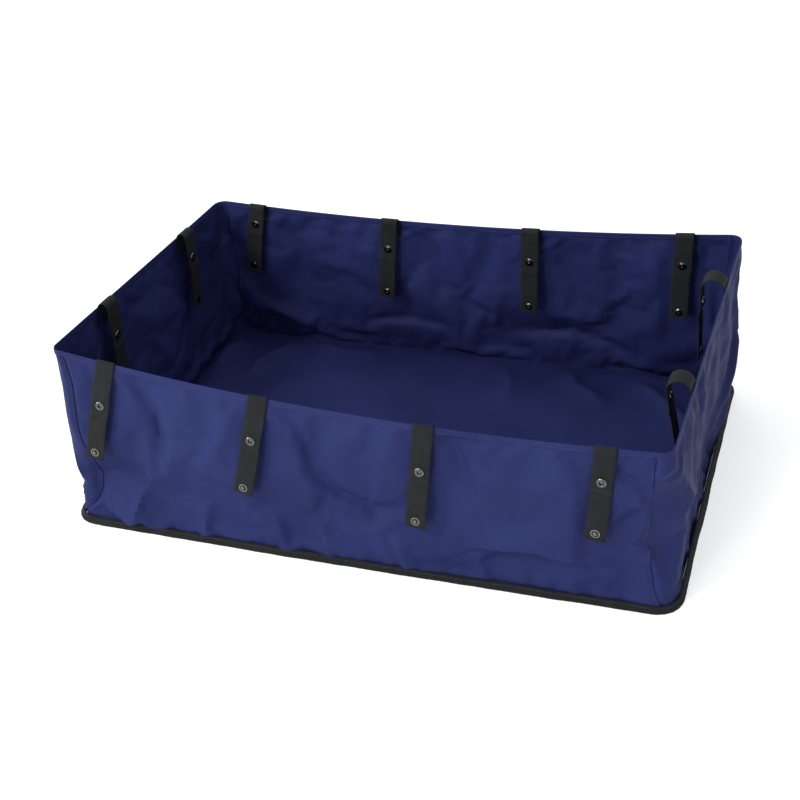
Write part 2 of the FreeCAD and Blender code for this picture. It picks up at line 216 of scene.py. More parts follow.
def joined(name, parts):
    """One mesh object from several (points, faces) lists."""
    points = []
    faces = []
    for some_points, some_faces in parts:
        start = sum(len(p) for p in points)
        points.append(np.asarray(some_points).reshape(-1, 3))
        faces += [tuple(start + k for k in face) for face in some_faces]
    return make_mesh(name, np.concatenate(points), faces)


DASH_SINK = 0.1 * MM
DASH_SHOULDER = 0.6
DASH_FACES = ((0, 2, 1), (0, 3, 2), (1, 2, 5, 4), (2, 3, 6, 5), (4, 5, 7), (5, 6, 7))


def stitches(line, normals, pitch=STITCH_PITCH, length=STITCH_LENGTH):
    """A row of thread dashes along a line of points on a surface, as (points, faces)."""
    line = np.asarray(line)
    normals = np.asarray(normals)
    reach = lengths_along(line)
    count = max(1, int(reach[-1] / pitch))
    middles = (np.arange(count) + 0.5) * reach[-1] / count
    points = []
    faces = []
    half = length / 2

    def at(values, s):
        return np.stack([np.interp(s, reach, values[:, k]) for k in range(3)], -1)

    for s in middles:
        ends = at(line, np.array([s - half, s, s + half]))
        way = unit(ends[2] - ends[0])
        up = unit(at(normals, np.array([s])))[0]
        side = unit(np.cross(way, up))
        base = ends[1] - up * DASH_SINK
        start = len(points)
        points.append(base - way * half)
        for share in (-DASH_SHOULDER, DASH_SHOULDER):
            middle = base + way * half * share
            points.append(middle - side * THREAD_WIDTH / 2)
            points.append(middle + up * (THREAD_HEIGHT + DASH_SINK))
            points.append(middle + side * THREAD_WIDTH / 2)
        points.append(base + way * half)
        faces += [tuple(start + k for k in face) for face in DASH_FACES]
    return np.array(points), faces


# ---------------------------------------------------------------- the ring of cloth


def pulled(x, y, shape):
    """The foot's front left corner stands a little further out than the others."""
    if shape is FOOT:
        x = x - CORNER_PULL * smoothstep(0.02, -0.21, y) * smoothstep(-0.10, -0.36, x)
    return np.stack([x, y], -1)


def outline(shape, q):
    """Places on a rounded rectangle, in the middle of its cloth. q runs from 0 to 8 counter-clockwise
    from above: the front, its right corner, the right end, a corner, the back, and so on."""
    q = np.mod(q, 8)
    t = q % 1
    inset = FABRIC / 2
    r = shape["corner"] - inset
    half_length = shape["length"] / 2 - inset
    half_width = shape["width"] / 2 - inset
    a = half_length - r
    b = half_width - r
    run = 2 * t - 1
    hump = 1 - run**2
    whole = np.ones_like(t)
    straight = (
        (a * run, -half_width - shape["front"] * hump),
        (half_length * whole, b * run),
        (-a * run, half_width + shape["back"] * hump),
        (-half_length * whole, -b * run),
    )
    xs = []
    ys = []
    for turn, (sx, sy) in enumerate(((1, -1), (1, 1), (-1, 1), (-1, -1))):
        angle = math.pi / 2 * (turn - 1 + t)
        xs += [straight[turn][0], sx * a + r * np.cos(angle)]
        ys += [straight[turn][1], sy * b + r * np.sin(angle)]
    part = np.minimum(np.floor(q).astype(int), 7)
    x = np.choose(part, xs)
    y = np.choose(part, ys)
    turned = math.radians(shape["turn"])
    c, s = math.cos(turned), math.sin(turned)
    return pulled(x * c - y * s, x * s + y * c, shape)


def rim_top(q, rim):
    """The rim's height over the floor, which sags between the corners and stands on two of them."""
    seam = RIM["length"] / 2 - END_WRAP
    along = np.clip(rim[..., 0] / seam, -1, 1)
    across = np.clip(rim[..., 1] / (RIM["width"] / 2), -1, 1)
    front = smoothstep(0, -0.1, rim[..., 1])
    sag = RIM_SAG["front"] * front + RIM_SAG["back"] * (1 - front)
    on_long_side = (np.mod(np.floor(q), 8) % 4) == 0
    return RIM_HEIGHT + RIM_TWIST * along * across - np.where(on_long_side, sag * (1 - along**2), 0)


Q_TABLE = np.linspace(0, 8, 6401)
RIM_LINE = outline(RIM, Q_TABLE)
RIM_REACH = lengths_along(RIM_LINE)
RIM_ROUND = RIM_REACH[-1]


def q_at(reach):
    return np.interp(np.mod(reach, RIM_ROUND), RIM_REACH, Q_TABLE)


def reach_at(q):
    return np.interp(q, Q_TABLE, RIM_REACH)


def seam_reaches():
    """How far round the rim each corner seam is: front left, front right, back right, back left."""
    flat = RIM["length"] / 2 - RIM["corner"]
    t = ((RIM["length"] / 2 - END_WRAP) / flat + 1) / 2
    return [float(reach_at(q)) for q in (1 - t, t, 5 - t, 4 + t)]


# how far each corner seam wanders along the wall on its way up: (share of the height, distance), and
# how far to each side the cloth follows it
DRIFT_SPREAD = 0.045
SEAM_DRIFT = (
    ((0, -0.016), (0.05, -0.013), (0.17, 0.006), (0.24, 0.006), (0.58, -0.003), (0.82, 0.003), (1, 0)),
    ((0, 0.010), (0.10, 0.004), (0.30, -0.002), (0.70, -0.002), (1, 0)),
    ((0, -0.012), (0.12, 0.000), (0.40, 0.003), (0.75, -0.002), (1, 0)),
    ((0, 0.012), (0.15, 0.002), (0.45, -0.003), (0.80, 0.001), (1, 0)),
)


def seam_drift(points, v):
    """The seam's drift at heights v, with its corners eased."""
    heights, ways = np.array(points).T
    spread = np.linspace(-0.03, 0.03, 7)
    return np.mean([np.interp(v + s, heights, ways) for s in spread], axis=0)


def column_reaches(spacing, fine):
    """Where the columns stand round the rim, from the front left seam back to itself, and which of
    them are the seams. They crowd together near the seams."""
    seams = seam_reaches()
    s = np.linspace(seams[0], seams[0] + RIM_ROUND, 20001)
    density = np.full_like(s, 1 / spacing)
    for seam in seams + [seams[0] + RIM_ROUND]:
        density += (1 / fine - 1 / spacing) * np.exp(-(((s - seam) / (5 * fine)) ** 2))
    total = np.concatenate([[0], np.cumsum((density[1:] + density[:-1]) / 2 * np.diff(s))])
    count = int(round(total[-1]))
    places = np.interp(np.linspace(0, total[-1], count + 1), total, s)
    cuts = [0]
    for seam in seams[1:]:
        k = int(np.argmin(np.abs(places - seam)))
        places[k] = seam
        cuts.append(k)
    cuts.append(count)
    return places, cuts


def base_ring(reaches, v):
    """The ring's points before it slumps: v is each row's share of the height. Rows by columns."""
    shifted = np.tile(reaches, (len(v), 1))
    seams = seam_reaches()
    for seam, drift in zip(seams + [seams[0] + RIM_ROUND], SEAM_DRIFT + SEAM_DRIFT[:1]):
        near = np.exp(-(((reaches - seam) / DRIFT_SPREAD) ** 2))
        shifted = shifted + seam_drift(drift, v)[:, None] * near[None, :]
    q = q_at(shifted)
    rim = outline(RIM, q)
    foot = outline(FOOT, q)
    z = FABRIC / 2 + (rim_top(q, rim) - FABRIC / 2) * v[:, None]
    share = (z - FABRIC) / (LOFT_TOP - FABRIC)
    flat = foot + (rim - foot) * share[..., None]
    return np.concatenate([flat, z[..., None]], -1)


def ring_normals(ring):
    """Outward normals of a closed ring whose last column repeats its first."""
    inner = ring[:, :-1]
    along = np.roll(inner, -1, 1) - np.roll(inner, 1, 1)
    up = np.gradient(inner, axis=0)
    normals = unit(np.cross(along, up))
    return np.concatenate([normals, normals[:, :1]], 1)


# ---------------------------------------------------------------- creases and slumps


def crease(a, z, line, height, left, right, soft):
    """How far a crease lifts the cloth at places (a, z) along and up a wall, in metres. The crease
    follows a line of places and fades at both ends. left and right are how far it falls away on each
    side of the way along it. These four are in millimetres. With soft at 0 it is a sharp fold, and at 2
    a round swell."""
    line = np.array(line, float) / 1000
    best = np.full(a.shape, 1e9)
    signed = np.zeros(a.shape)
    place = np.zeros(a.shape)
    spans = np.linalg.norm(np.diff(line, axis=0), axis=1)
    total = spans.sum()
    gone = 0.0
    for start, end, span in zip(line[:-1], line[1:], spans):
        way = (end - start) / span
        da, dz = a - start[0], z - start[1]
        t = np.clip((da * way[0] + dz * way[1]) / span, 0, 1)
        off_a, off_z = da - t * span * way[0], dz - t * span * way[1]
        distance = np.hypot(off_a, off_z)
        nearer = distance < best
        best = np.where(nearer, distance, best)
        signed = np.where(nearer, way[0] * dz - way[1] * da, signed)
        place = np.where(nearer, (gone + t * span) / total, place)
        gone += span
    width = np.where(signed > 0, left / 1000, right / 1000)
    fall = np.exp(-(np.sqrt((best / width) ** 2 + soft**2) - soft))
    ends = smoothstep(-0.05, 0.3, place) * smoothstep(1.05, 0.7, place)
    return height / 1000 * fall * ends


# the creases of each wall, in millimetres: a line of (along, up), how far it stands out, how far it falls
# away left and right of the line, and its softness, which has no unit
CREASES = {
    "front": (
        # the hollow over the front left corner, whose lower side faces up, and the fold at its end
        (((-395, 60), (-372, 64), (-330, 72), (-275, 66)), -20, 34, 40, 0.15),
        (((-318, -10), (-296, 30), (-282, 72)), 17, 40, 7, 0.1),
        # slack cloth hanging in swags between the straps
        (((-300, 235), (-278, 215), (-258, 180), (-256, 140), (-245, 112)), -10, 22, 12, 0.35),
        (
            ((-90, 216), (-64, 200), (-46, 168), (-41, 131), (-20, 108), (30, 88), (82, 88)),
            -9.5, 20, 11, 0.35,
        ),
        (((118, 214), (142, 190), (150, 150), (160, 125)), -8.5, 22, 14, 0.4),
        (((-210, 120), (-170, 100), (-120, 92)), 8, 30, 14, 0.4),
        # the fold that hangs over the bottom at the right
        (((150, 46), (175, 60), (235, 69), (290, 66), (330, 58)), 13, 34, 6, 0.15),
        (((160, 30), (215, 45), (280, 48)), -8, 9, 14, 0.3),
        # short upright folds over the bottom seam
        (((-196, 58), (-203, -5)), 8.5, 6, 34, 0.1),
        (((-108, 66), (-94, 30), (-80, -5)), 7, 10, 14, 0.1),
        (((-26, 80), (-34, 20)), 7, 18, 6, 0.1),
        (((60, 60), (74, -5)), 5.5, 16, 8, 0.2),
        (((-300, 25), (-262, -5)), 7, 16, 8, 0.2),
        # creases that meet at the dented front right corner
        (((322, 207), (346, 188), (368, 165)), -10, 12, 16, 0.15),
        (((312, 158), (345, 160), (368, 160)), 8.5, 16, 12, 0.3),
        (((312, 98), (338, 126), (366, 156)), -11, 12, 12, 0.1),
        (((305, 104), (335, 104), (372, 98)), 10.5, 18, 10, 0.2),
    ),
    "right": (
        (((-225, 165), (-150, 120), (-60, 40)), 8.5, 22, 18, 0.3),
        (((-40, 205), (-10, 140), (30, 80)), -8.5, 30, 22, 0.8),
        (((120, 190), (150, 120), (140, 60)), 6.8, 28, 22, 0.8),
        (((215, 120), (150, 50), (70, 20)), 8.5, 20, 14, 0.3),
    ),
    "back": (
        (((-290, 215), (-265, 150), (-275, 80)), 8.5, 22, 30, 0.8),
        (((-80, 210), (-50, 150), (-20, 100), (40, 80)), 8.5, 24, 30, 0.8),
        (((130, 215), (160, 150), (150, 90)), 8.5, 24, 34, 0.8),
        (((300, 200), (345, 120), (372, 50)), -8.5, 20, 16, 0.4),
        (((-372, 110), (-320, 60), (-250, 30)), -10.2, 18, 14, 0.3),
        (((-180, 45), (-100, 60), (-20, 50)), 6.8, 20, 12, 0.4),
        (((60, 50), (150, 60), (240, 40)), 7.6, 20, 12, 0.4),
    ),
    "left": (
        (((180, 190), (140, 120), (150, 60)), 8.5, 26, 20, 0.7),
        (((20, 200), (-10, 140), (10, 70)), -9.3, 28, 22, 0.8),
        (((-150, 180), (-120, 110), (-170, 40)), 8.5, 26, 20, 0.6),
        (((-225, 70), (-150, 40), (-60, 30)), 8.5, 18, 12, 0.3),
    ),
}

# corners that are pressed flat: which corner, the way its flat faces (degrees from +X), how deep, and
# the heights, as shares of the wall, between which it is pressed in and fully pressed
DENTS = (
    ((1, -1), -40, 0.015, (0.02, 0.42, 0.64, 0.93)),
    ((1, 1), 45, 0.009, (0.05, 0.35, 0.60, 0.95)),
    ((-1, 1), 140, 0.008, (0.05, 0.30, 0.55, 0.95)),
)


# gentle waves all over the slack cloth: how high, how far across, and the seed
WAVES = ((2.0 * MM, 0.16, 3), (0.9 * MM, 0.06, 5), (0.25 * MM, 0.02, 8))


def towards(side, normals):
    """How far normals face out of a side: 1 is straight out."""
    ox, oy = OUTWARD[side]
    return normals[..., 0] * ox + normals[..., 1] * oy


def slump(ring, normals, v):
    """How far the cloth stands out from the plain ring, as a distance along its normals. v is each
    row's share of the height. The waves and creases fade out at the sewn foot and the hemmed rim."""
    loose = (smoothstep(0, 0.10, v) * smoothstep(1, 0.82, v))[:, None]
    lift = sum(height * ripples(ring, across, seed) for height, across, seed in WAVES) * loose
    below_rim = smoothstep(1, 0.95, v)[:, None]
    for cut in cuts:
        groove = np.exp(-(((reaches - reaches[cut]) / GROOVE_WIDTH) ** 2))
        lift = lift - GROOVE_DEPTH * groove * below_rim
    held = (smoothstep(0, 0.03, v) * smoothstep(1, 0.93, v))[:, None]
    for side in SIDES:
        faces = smoothstep(0.35, 0.75, towards(side, normals))
        for fold in CREASES[side]:
            lift = lift + crease(ring[..., AXIS[side]], ring[..., 2], *fold) * faces * held
    return lift


def press_corners(ring, base, v):
    """Flattens each corner towards an upright plane, where the cloth has buckled inward."""
    ease = 2.5 * MM
    nowhere = -9.0  # in the way that a corner faces, less than any place on the bag
    for (sx, sy), facing, deep, (low, low_full, high_full, high) in DENTS:
        way = np.array([math.cos(math.radians(facing)), math.sin(math.radians(facing))])
        depth = deep * smoothstep(low, low_full, v) * smoothstep(high, high_full, v)
        near = (base[..., 0] * sx > 0) & (base[..., 1] * sy > 0)
        out = np.where(near, ring[..., :2] @ way, nowhere)
        limit = np.where(near, base[..., :2] @ way, nowhere).max(1) - depth
        over = out - limit[:, None]
        cut = (over + np.sqrt(over**2 + ease**2)) / 2 * smoothstep(0, 3 * MM, depth)[:, None]
        ring = ring.copy()
        ring[..., :2] -= np.where(near, cut, 0)[..., None] * way
    return ring


def resampled(values, places):
    """Rows of values read at fractional places by cubic interpolation, for a smooth result."""
    last = len(values) - 1
    i = np.clip(np.floor(places).astype(int), 0, last - 1)
    t = (places - i).reshape((-1,) + (1,) * (values.ndim - 1))
    before, after = values[np.maximum(i - 1, 0)], values[np.minimum(i + 2, last)]
    here, there = values[i], values[i + 1]
    slope, next_slope = (there - before) / 2, (after - here) / 2
    return (
        here * (2 * t**3 - 3 * t**2 + 1)
        + slope * (t**3 - 2 * t**2 + t)
        + there * (3 * t**2 - 2 * t**3)
        + next_slope * (t**3 - t**2)
    )


def settled(ring, reaches):
    """How far each point of the ring moves when its slack cloth settles between the held rim and the
    sewn foot. Blender's Cloth is run on a coarser copy, which is then removed."""
    rows = SETTLE_ROWS
    count = int(RIM_ROUND / SETTLE_STEP)
    turns = reaches[0] + np.arange(count) * RIM_ROUND / count
    column = np.interp(turns, reaches, np.arange(len(reaches)))
    row = np.linspace(0, ring.shape[0] - 1, rows)
    coarse = resampled(resampled(ring, row).swapaxes(0, 1), column).swapaxes(0, 1)
    faces = []
    for i in range(rows - 1):
        for j in range(count):
            k = (j + 1) % count
            faces.append((i * count + j, i * count + k, (i + 1) * count + k, (i + 1) * count + j))
    trial = make_mesh("settling_cloth", coarse, faces)
    held = trial.vertex_groups.new(name="held")
    held.add(list(range(count)) + list(range((rows - 2) * count, rows * count)), 1.0, "REPLACE")
    cloth = trial.modifiers.new("Cloth", "CLOTH")
    for key, value in CLOTH_SETTINGS.items():
        setattr(cloth.settings, key, value)
    cloth.settings.vertex_group_mass = "held"
    cloth.settings.effector_weights.gravity = SETTLE_GRAVITY
    cloth.collision_settings.use_collision = False
    cloth.point_cache.frame_start = 1
    cloth.point_cache.frame_end = SETTLE_FRAMES
    scene = bpy.context.scene
    for number in range(1, SETTLE_FRAMES + 1):
        scene.frame_set(number)
    shown = trial.evaluated_get(bpy.context.evaluated_depsgraph_get())
    after = np.zeros(rows * count * 3)
    shown.data.vertices.foreach_get("co", after)
    moved = after.reshape(rows, count, 3) - coarse
    scene.frame_set(1)
    mesh = trial.data
    bpy.data.objects.remove(trial)
    bpy.data.meshes.remove(mesh)
    lap = 2  # columns repeated past each end, so that the cubic curve runs on round the ring
    moved = np.concatenate([moved[:, -lap:], moved, moved[:, : lap + 1]], 1)
    back = (reaches - reaches[0]) / RIM_ROUND * count + lap
    level = np.linspace(0, rows - 1, ring.shape[0])
    moved = resampled(resampled(moved, level).swapaxes(0, 1), back).swapaxes(0, 1)
    length = np.linalg.norm(moved, axis=-1, keepdims=True)
    return moved * (SETTLE_LIMIT * np.tanh(length / SETTLE_LIMIT) / np.maximum(length, 1e-9))


ROWS = 58
COLUMN_STEP = 5 * MM
SEAM_STEP = 2 * MM
heights = np.linspace(0, 1, ROWS)
reaches, cuts = column_reaches(COLUMN_STEP, SEAM_STEP)
plain = base_ring(reaches, heights)
plain_normals = ring_normals(plain)
lift = slump(plain, plain_normals, heights)

# beside a strap the cloth doesn't press through the webbing or its studs: under a strap outside the bag
# it may sink in but hardly swell, and under one inside it the other way round
joints = {joint["name"]: joint for joint in frame["joints"]}
strap_places = []
strap_holds = []
for joint_name, joint in joints.items():
    if not joint_name.endswith("_swing"):
        continue
    side = joint_name.split("_")[0]
    place = joint["pos_m"][AXIS[side]]
    strap_places.append((side, place))
    aside = np.abs(plain[..., AXIS[side]] - place)
    on_side = towards(side, plain_normals) > 0.5
    under = on_side * smoothstep(0.040, 0.018, aside) * smoothstep(0.05, 0.09, plain[..., 2])
    low, high = (-20 * MM, 1 * MM) if side in OUTSIDE else (-3 * MM, 20 * MM)
    strap_holds.append((under, low, high))
    lift = lift + (np.clip(lift, low, high) - lift) * under

ring = plain + plain_normals * lift[..., None]
ring = press_corners(ring, plain, heights)
ring[:, -1] = ring[:, 0]
moved = settled(ring, reaches)
out = (moved * plain_normals).sum(-1)
for under, low, high in strap_holds:
    pushed = (np.clip(lift + out, low, high) - lift - out) * under
    moved = moved + plain_normals * pushed[..., None]
    out = out + pushed
ring = ring + moved
ring[:, -1] = ring[:, 0]
normals = ring_normals(ring)

column_tall = np.linalg.norm(np.diff(ring, axis=0), axis=2).sum(0)
PANEL_COLUMNS = {side: (cuts[k], cuts[k + 1]) for k, side in enumerate(SIDES)}


def between(grid, row, column):
    """Values of a grid at fractional rows and columns."""
    rows, columns = grid.shape[:2]
    row = np.clip(row, 0, rows - 1.000001)
    column = np.clip(column, 0, columns - 1.000001)
    i, j = row.astype(int), column.astype(int)
    di, dj = (row - i)[..., None], (column - j)[..., None]
    low = grid[i, j] * (1 - dj) + grid[i, j + 1] * dj
    high = grid[i + 1, j] * (1 - dj) + grid[i + 1, j + 1] * dj
    return low * (1 - di) + high * di


def on_wall(side, along, depth, out=0.0):
    """Points and outward normals on a wall, at places along it and depths below its rim."""
    along, depth = np.broadcast_arrays(np.asarray(along, float), np.asarray(depth, float))
    first, last = PANEL_COLUMNS[side]
    line = ring[-1, first : last + 1, AXIS[side]]
    numbers = np.arange(first, last + 1)
    if line[-1] < line[0]:
        line, numbers = line[::-1], numbers[::-1]
    column = np.interp(along, line, numbers)
    tall = np.interp(column, np.arange(len(column_tall)), column_tall)
    row = (1 - depth / tall) * (ROWS - 1)
    normal = unit(between(normals, row, column))
    return between(ring, row, column) + normal * out, normal


# ---------------------------------------------------------------- materials


class Shader:
    """A material and short ways to add nodes to it."""

    def __init__(self, name):
        self.material = bpy.data.materials.new(name)
        self.material.use_nodes = True
        self.tree = self.material.node_tree
        self.surface = self.tree.nodes["Principled BSDF"]

    def add(self, kind, inputs=(), **settings):
        made = self.tree.nodes.new("ShaderNode" + kind)
        for key, value in settings.items():
            setattr(made, key, value)
        for key, value in dict(inputs).items():
            self.feed(made.inputs[key], value)
        return made

    def feed(self, socket, value):
        if isinstance(value, bpy.types.NodeSocket):
            self.tree.links.new(value, socket)
        else:
            socket.default_value = value

    def math(self, operation, a, b=0.0):
        return self.add("Math", {0: a, 1: b}, operation=operation).outputs[0]

    def wave(self, value, period):
        """From -1 to 1 and back over each period of a length."""
        return self.math("SINE", self.math("MULTIPLY", value, 2 * math.pi / period))

    def uv(self):
        """Lengths in metres across and along the cloth."""
        place = self.add("TexCoord").outputs["UV"]
        parts = self.add("SeparateXYZ", {0: place})
        return place, parts.outputs["X"], parts.outputs["Y"]

    def place(self):
        return self.add("TexCoord").outputs["Object"]

    def noise(self, vector, scale, detail=3.0, roughness=0.5):
        inputs = {"Vector": vector, "Scale": scale, "Detail": detail, "Roughness": roughness}
        return self.add("TexNoise", inputs).outputs["Fac"]

    def blend(self, share, low, high):
        return self.add("Mix", {0: share, 6: low, 7: high}, data_type="RGBA").outputs[2]

    def spread(self, value, low, high, to_low=0.0, to_high=1.0):
        inputs = {0: value, 1: low, 2: high, 3: to_low, 4: to_high}
        return self.add("MapRange", inputs).outputs[0]

    def bump(self, height, distance, strength=1.0, normal=None):
        inputs = {"Height": height, "Distance": distance, "Strength": strength}
        if normal is not None:
            inputs["Normal"] = normal
        return self.add("Bump", inputs).outputs["Normal"]

    def finish(self, **inputs):
        for key, value in inputs.items():
            self.feed(self.surface.inputs[key.replace("_", " ")], value)
        return self.material


def colour(r, g, b):
    return (r, g, b, 1.0)


WEAVE_PITCH = 1.3 * MM
WARP_PITCH = 2.4 * MM


def fabric_material():
    """Navy polyester, plain woven and coated, with soft handling marks."""
    s = Shader("navy_coated_polyester")
    uv, u, v = s.uv()
    place = s.place()
    weave = s.math("MULTIPLY", s.wave(u, WEAVE_PITCH), s.wave(v, WEAVE_PITCH))
    slubs = s.noise(uv, 900.0, 2.0)
    crinkle = s.noise(place, 45.0, 5.0, 0.6)
    patches = s.noise(place, 7.0, 3.0)
    rubbed = s.spread(s.noise(place, 26.0, 6.0, 0.7), 0.56, 0.72)
    deep, pale = colour(0.0102, 0.0138, 0.059), colour(0.0140, 0.0186, 0.076)
    base = s.blend(s.spread(patches, 0.35, 0.65), deep, pale)
    base = s.blend(s.math("MULTIPLY", rubbed, 0.16), base, colour(0.028, 0.040, 0.125))
    yarn = s.spread(weave, -1, 1, 0.0, 0.16)
    base = s.blend(yarn, base, colour(0.026, 0.035, 0.120))
    rough = s.math("ADD", s.spread(crinkle, 0.3, 0.7, 0.50, 0.64), s.math("MULTIPLY", rubbed, 0.08))
    soft = s.bump(crinkle, 1.2 * MM, 0.35)
    fine = s.bump(s.math("ADD", weave, s.math("MULTIPLY", slubs, 0.8)), 0.05 * MM, 0.6, soft)
    return s.finish(
        Base_Color=base,
        Roughness=rough,
        Normal=fine,
        Specular_IOR_Level=0.06,
        Sheen_Weight=0.01,
        Sheen_Roughness=0.45,
        Sheen_Tint=colour(0.30, 0.40, 0.95),
    )


def webbing_material(name, rib, dark, light):
    """Black flat-woven tape: fine ribs across it, rib apart, rows of warp along it, and dusty wear."""
    s = Shader(name)
    uv, u, v = s.uv()
    place = s.place()
    rows = s.wave(u, WARP_PITCH)
    ribs = s.wave(s.math("ADD", v, s.math("MULTIPLY", rows, rib * 0.22)), rib)
    height = s.math("ADD", s.math("MULTIPLY", ribs, 0.7), s.math("MULTIPLY", rows, 0.3))
    fuzz = s.noise(uv, 1400.0, 2.0)
    dust = s.spread(s.noise(place, 60.0, 5.0, 0.65), 0.45, 0.75, 0.0, 0.35)
    base = s.blend(s.spread(height, -0.8, 0.9), dark, light)
    base = s.blend(dust, base, colour(0.020, 0.021, 0.023))
    normal = s.bump(s.math("ADD", height, fuzz), 0.22 * MM, 0.8)
    return s.finish(
        Base_Color=base,
        Roughness=s.spread(fuzz, 0.3, 0.7, 0.66, 0.86),
        Normal=normal,
        Specular_IOR_Level=0.10,
        Sheen_Weight=0.02,
        Sheen_Roughness=0.5,
    )


def thread_material(name, low, high):
    """Twisted sewing thread, between two shades."""
    s = Shader(name)
    place = s.place()
    twist = s.noise(place, 1600.0, 2.0)
    worn = s.noise(place, 90.0, 3.0)
    base = s.blend(s.spread(worn, 0.35, 0.7), low, high)
    return s.finish(
        Base_Color=base,
        Roughness=s.spread(twist, 0.3, 0.7, 0.5, 0.75),
        Normal=s.bump(twist, 0.1 * MM, 0.6),
        Specular_IOR_Level=0.3,
    )


def snap_material():
    """Black press studs: dark, glossy, and scratched bright in places. Their rims are painted brighter,
    partly as wear to bare metal and partly as a painted highlight.
    """
    s = Shader("black_nickel_studs")
    place = s.place()
    smoke = s.noise(place, 180.0, 4.0, 0.6)
    scratches = s.noise(s.add("Mapping", {0: place, 3: (1.0, 1.0, 6.0)}).outputs[0], 700.0, 4.0, 0.7)
    worn = s.spread(scratches, 0.56, 0.66)
    # the rims, found by pointiness, are painted brighter: partly worn bare metal, partly a painted
    # highlight
    worn_edges_and_highlight = s.spread(s.add("NewGeometry").outputs["Pointiness"], 0.53, 0.62)
    dark, light = colour(0.020, 0.020, 0.022), colour(0.045, 0.045, 0.048)
    base = s.blend(s.spread(smoke, 0.35, 0.65), dark, light)
    base = s.blend(s.math("MULTIPLY", worn, 0.35), base, colour(0.40, 0.39, 0.37))
    base = s.blend(s.math("MULTIPLY", worn_edges_and_highlight, 0.7), base, colour(0.62, 0.61, 0.58))
    return s.finish(
        Base_Color=base,
        Metallic=1.0,
        Roughness=s.spread(smoke, 0.3, 0.7, 0.20, 0.38),
        Normal=s.bump(scratches, 0.05 * MM, 0.4),
    )


FABRIC_FINISH = fabric_material()
WEBBING_FINISH = webbing_material(
    "black_webbing", 1.5 * MM, colour(0.0042, 0.0045, 0.0051), colour(0.0130, 0.0140, 0.0155)
)
TAPE_FINISH = webbing_material(
    "black_binding_tape", 1.1 * MM, colour(0.0045, 0.0048, 0.0054), colour(0.0120, 0.0125, 0.0140)
)
NAVY_THREAD = thread_material("navy_thread", colour(0.012, 0.014, 0.045), colour(0.030, 0.036, 0.105))
BLACK_THREAD = thread_material("black_thread", colour(0.008, 0.008, 0.010), colour(0.040, 0.040, 0.044))
SNAP_FINISH = snap_material()


def finished(obj, material, body="bag"):
    """Gives a piece its finish and the body that it moves with."""
    obj.data.materials.clear()
    obj.data.materials.append(material)
    if body is not None:
        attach(obj, body)
    return obj


# ---------------------------------------------------------------- the walls


def wall_uvs(grid):
    """Lengths along and up a wall, in metres."""
    rows = len(grid)
    up = np.linspace(0, RIM_HEIGHT, rows)
    return lattice(lengths_along(grid[rows // 2]), up)


walls = {}
for side, (first, last) in PANEL_COLUMNS.items():
    part = slice(first, last + 1)
    grid = ring[:, part]
    walls[side] = thick_sheet(f"cloth_{side}", grid, normals[:, part], CLOTH, wall_uvs(grid))
    finished(walls[side], FABRIC_FINISH)
    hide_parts(f"{side}_panel")


# ---------------------------------------------------------------- the floor


FLOOR_COLUMNS = 157
FLOOR_ROWS = 99


def floor_grid():
    """The floor's outline filled evenly, by a grid whose corners are drawn in to the arcs: its points,
    their distances from the edge, and where they lie on the flat sheet."""
    inset = FABRIC / 2
    half_length = FOOT["length"] / 2 - inset
    half_width = FOOT["width"] / 2 - inset
    r = FOOT["corner"] - inset
    along = np.linspace(-half_length, half_length, FLOOR_COLUMNS)
    across = np.linspace(-half_width, half_width, FLOOR_ROWS)
    x, y = np.meshgrid(along, across)
    u = np.clip((np.abs(x) - (half_length - r)) / r, 0, 1)
    w = np.clip((np.abs(y) - (half_width - r)) / r, 0, 1)
    round_x = (half_length - r) + r * u * np.sqrt(1 - w**2 / 2)
    round_y = (half_width - r) + r * w * np.sqrt(1 - u**2 / 2)
    in_corner = (u > 0) & (w > 0)
    bow = 1 + FOOT["front"] * (1 - (x / half_length) ** 2) / half_width
    px = np.where(in_corner, np.sign(x) * round_x, x)
    py = np.where(in_corner, np.sign(y) * round_y, y) * bow
    turned = math.radians(FOOT["turn"])
    c, s = math.cos(turned), math.sin(turned)
    edge = np.minimum(half_length - np.abs(x), half_width - np.abs(y))
    uv = np.stack([x, y], -1)
    flat = pulled(px * c - py * s, px * s + py * c, FOOT)
    return np.concatenate([flat, np.full_like(x, FABRIC / 2)[..., None]], -1), edge, uv


# folds that the loose floor makes, as in CREASES, with lines of (x, y)
FLOOR_FOLDS = (
    (((-395, 110), (-375, 160), (-350, 205)), 14, 10, 20, 0.15),
    (((-320, 105), (-300, 160), (-262, 215)), 14, 22, 8, 0.1),
    (((-260, 215), (-190, 200), (-120, 212)), 7, 12, 14, 0.4),
    (((50, 225), (75, 180), (85, 120)), 6, 12, 10, 0.2),
    (((150, 235), (170, 190), (230, 160)), 10, 12, 14, 0.2),
    (((250, 225), (300, 180), (350, 130)), 11, 12, 10, 0.2),
    (((-150, -150), (-20, -90), (120, -120)), 5, 30, 20, 0.6),
    (((-340, -80), (-250, -20), (-180, 60)), 5, 24, 18, 0.5),
    (((300, -160), (240, -60), (260, 40)), 5, 22, 18, 0.5),
)
FLAT_EDGE = 0.022  # how wide the floor's flat sewn edge is

floor_points, floor_edge, floor_uv = floor_grid()
floor_rise = 1.6 * MM * (1.2 + ripples(floor_points, 0.11, 12))
floor_rise += 0.5 * MM * (1 + ripples(floor_points, 0.04, 14))
for fold in FLOOR_FOLDS:
    floor_rise += crease(floor_points[..., 0], floor_points[..., 1], *fold)
floor_rise = np.maximum(floor_rise, 0) * smoothstep(0, FLAT_EDGE, floor_edge)
floor_points[..., 2] += floor_rise
floor_normals = unit(np.cross(np.gradient(floor_points, axis=1), np.gradient(floor_points, axis=0)))
cloth_floor = thick_sheet("cloth_floor", floor_points, floor_normals, CLOTH, floor_uv)
finished(cloth_floor, FABRIC_FINISH)
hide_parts("floor_panel")


# ---------------------------------------------------------------- hem, seams, binding


